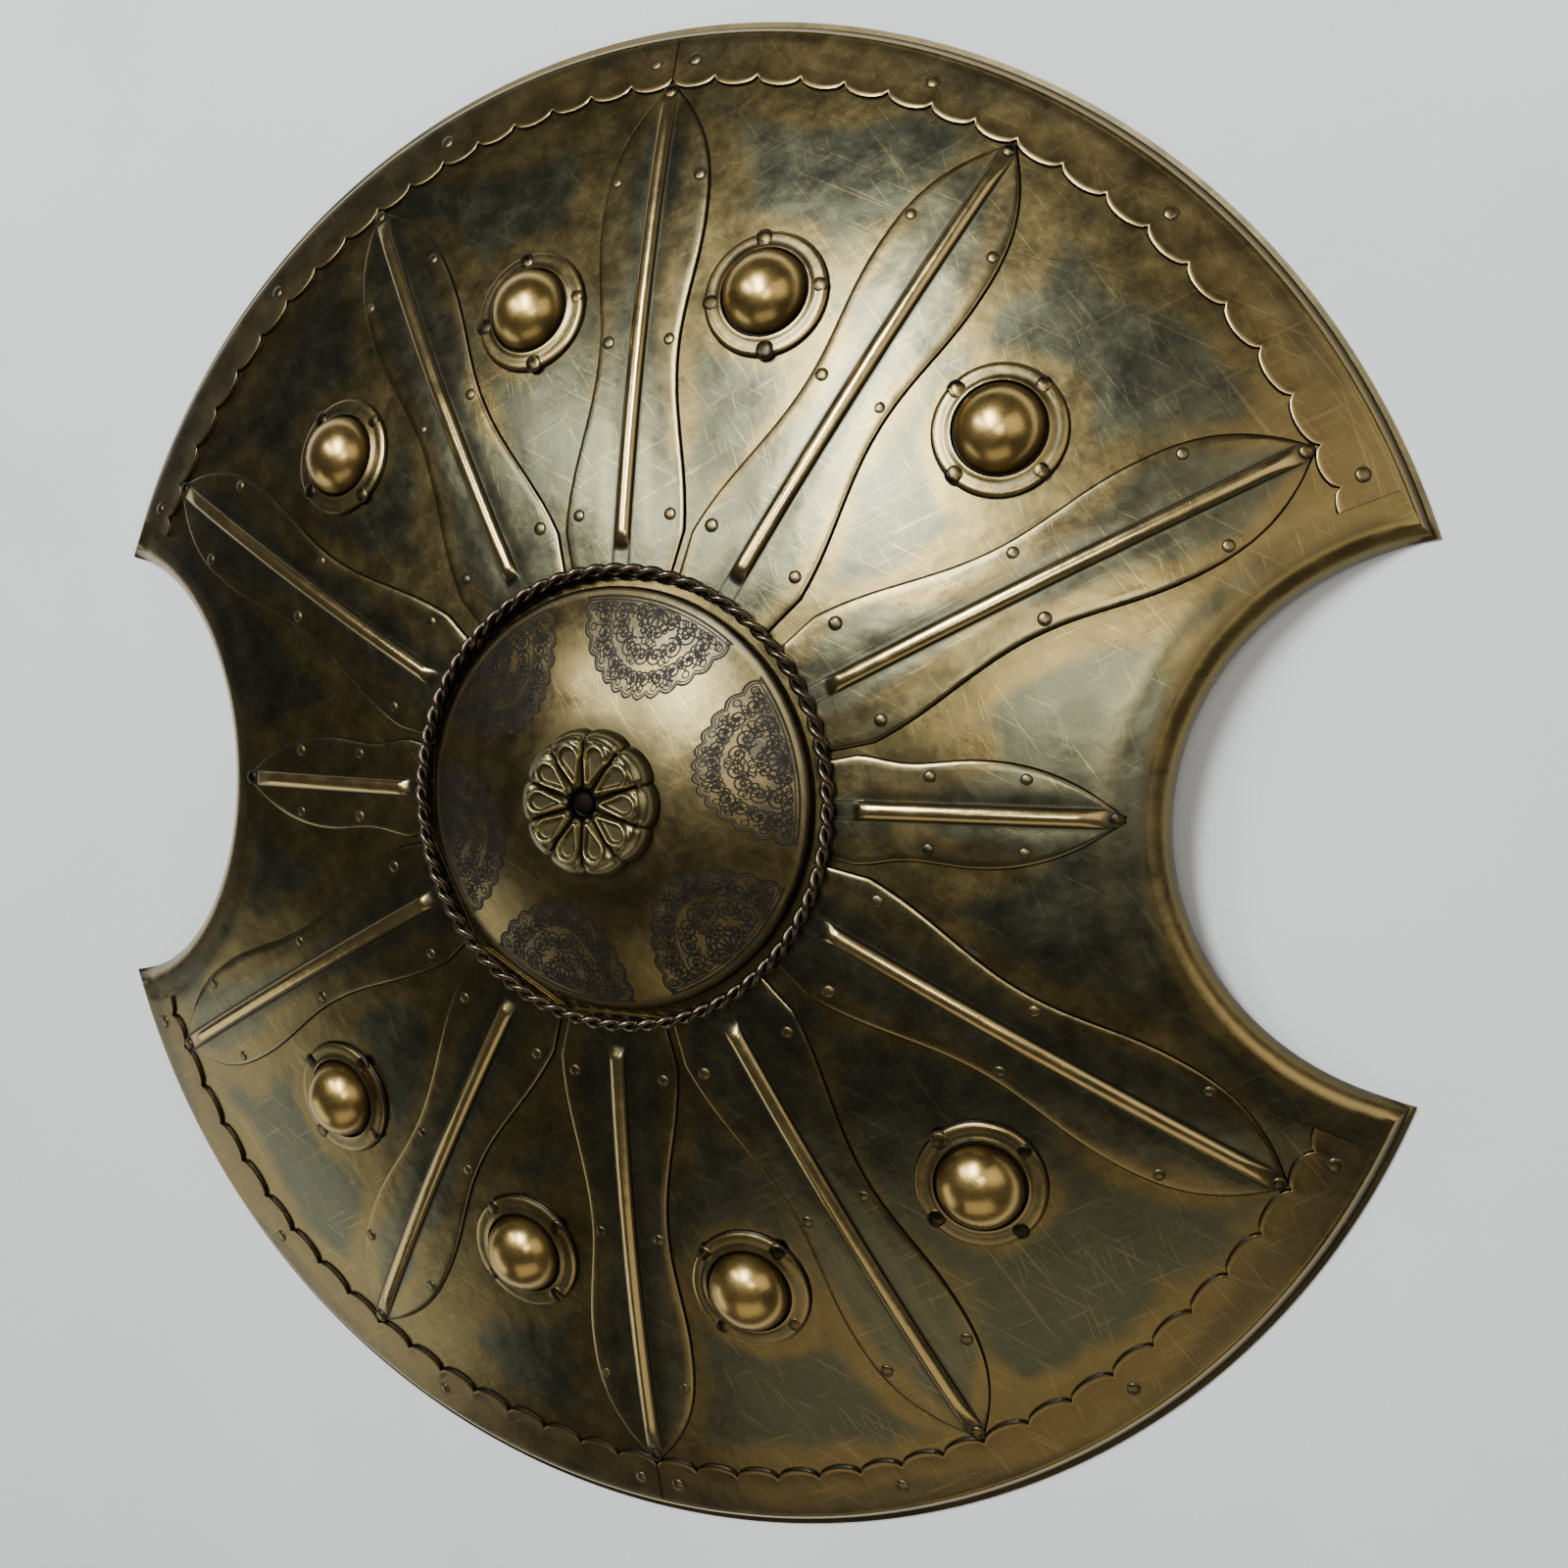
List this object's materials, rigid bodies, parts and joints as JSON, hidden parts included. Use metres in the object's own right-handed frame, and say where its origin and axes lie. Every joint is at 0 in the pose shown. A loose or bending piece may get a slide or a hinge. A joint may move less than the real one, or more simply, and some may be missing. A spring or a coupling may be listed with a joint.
{
  "type": "bossed round shield with side cut-outs",
  "caption": "Round domed metal shield with a round bite in each side, riveted leaf plates, domed bosses, a scalloped border and a large middle boss in a twisted wire ring.",
  "frame": {"origin": "on the floor under the middle of the dish, the shield lying face up on its hem", "axes": "+Z out of the shield's face, +Y towards the top of the shield, +X towards the right-hand bite as its face is seen"},
  "size_m": [0.5772, 0.61, 0.0837],
  "materials": {
    "aged_plate": "antiqued sheet, olive-brown with blue-grey tarnish clouds, worn bright on high spots",
    "border_brass": "antiqued warm brown brass sheet, cut edges worn bright",
    "leaf_bronze": "antiqued sheet, tarnished, with polished golden ribs",
    "boss_brass": "polished golden bronze, dark in the recess",
    "etched_brass": "antiqued brass with dark etched scrollwork fans",
    "twisted_wire": "dark twisted wire, bright on the crests",
    "cast_brass": "cast brass, dark in the grooves, bright on the raised edges",
    "dark_screw": "blackened head",
    "strap_leather": "dark brown waxed leather"
  },
  "bodies": {
    "root": {"base_plate": "aged_plate", "border_band_upper_right": "border_brass", "border_band_upper_left": "border_brass", "border_band_lower_left": "border_brass", "border_band_lower_right": "border_brass", "leaf_plate_01": "leaf_bronze", "leaf_plate_02": "leaf_bronze", "leaf_plate_03": "leaf_bronze", "leaf_plate_04": "leaf_bronze", "leaf_plate_05": "leaf_bronze", "leaf_plate_06": "leaf_bronze", "leaf_plate_07": "leaf_bronze", "leaf_plate_08": "leaf_bronze", "leaf_plate_09": "leaf_bronze", "leaf_plate_10": "leaf_bronze", "leaf_plate_11": "leaf_bronze", "leaf_plate_12": "leaf_bronze", "small_boss_1": "boss_brass", "small_boss_2": "boss_brass", "small_boss_3": "boss_brass", "small_boss_4": "boss_brass", "small_boss_5": "boss_brass", "small_boss_6": "boss_brass", "small_boss_7": "boss_brass", "small_boss_8": "boss_brass", "middle_boss": "etched_brass", "wire_ring": "twisted_wire", "rosette": "cast_brass", "rosette_screw": "dark_screw", "arm_strap": "strap_leather", "hand_strap": "strap_leather"}
  },
  "joints": []
}
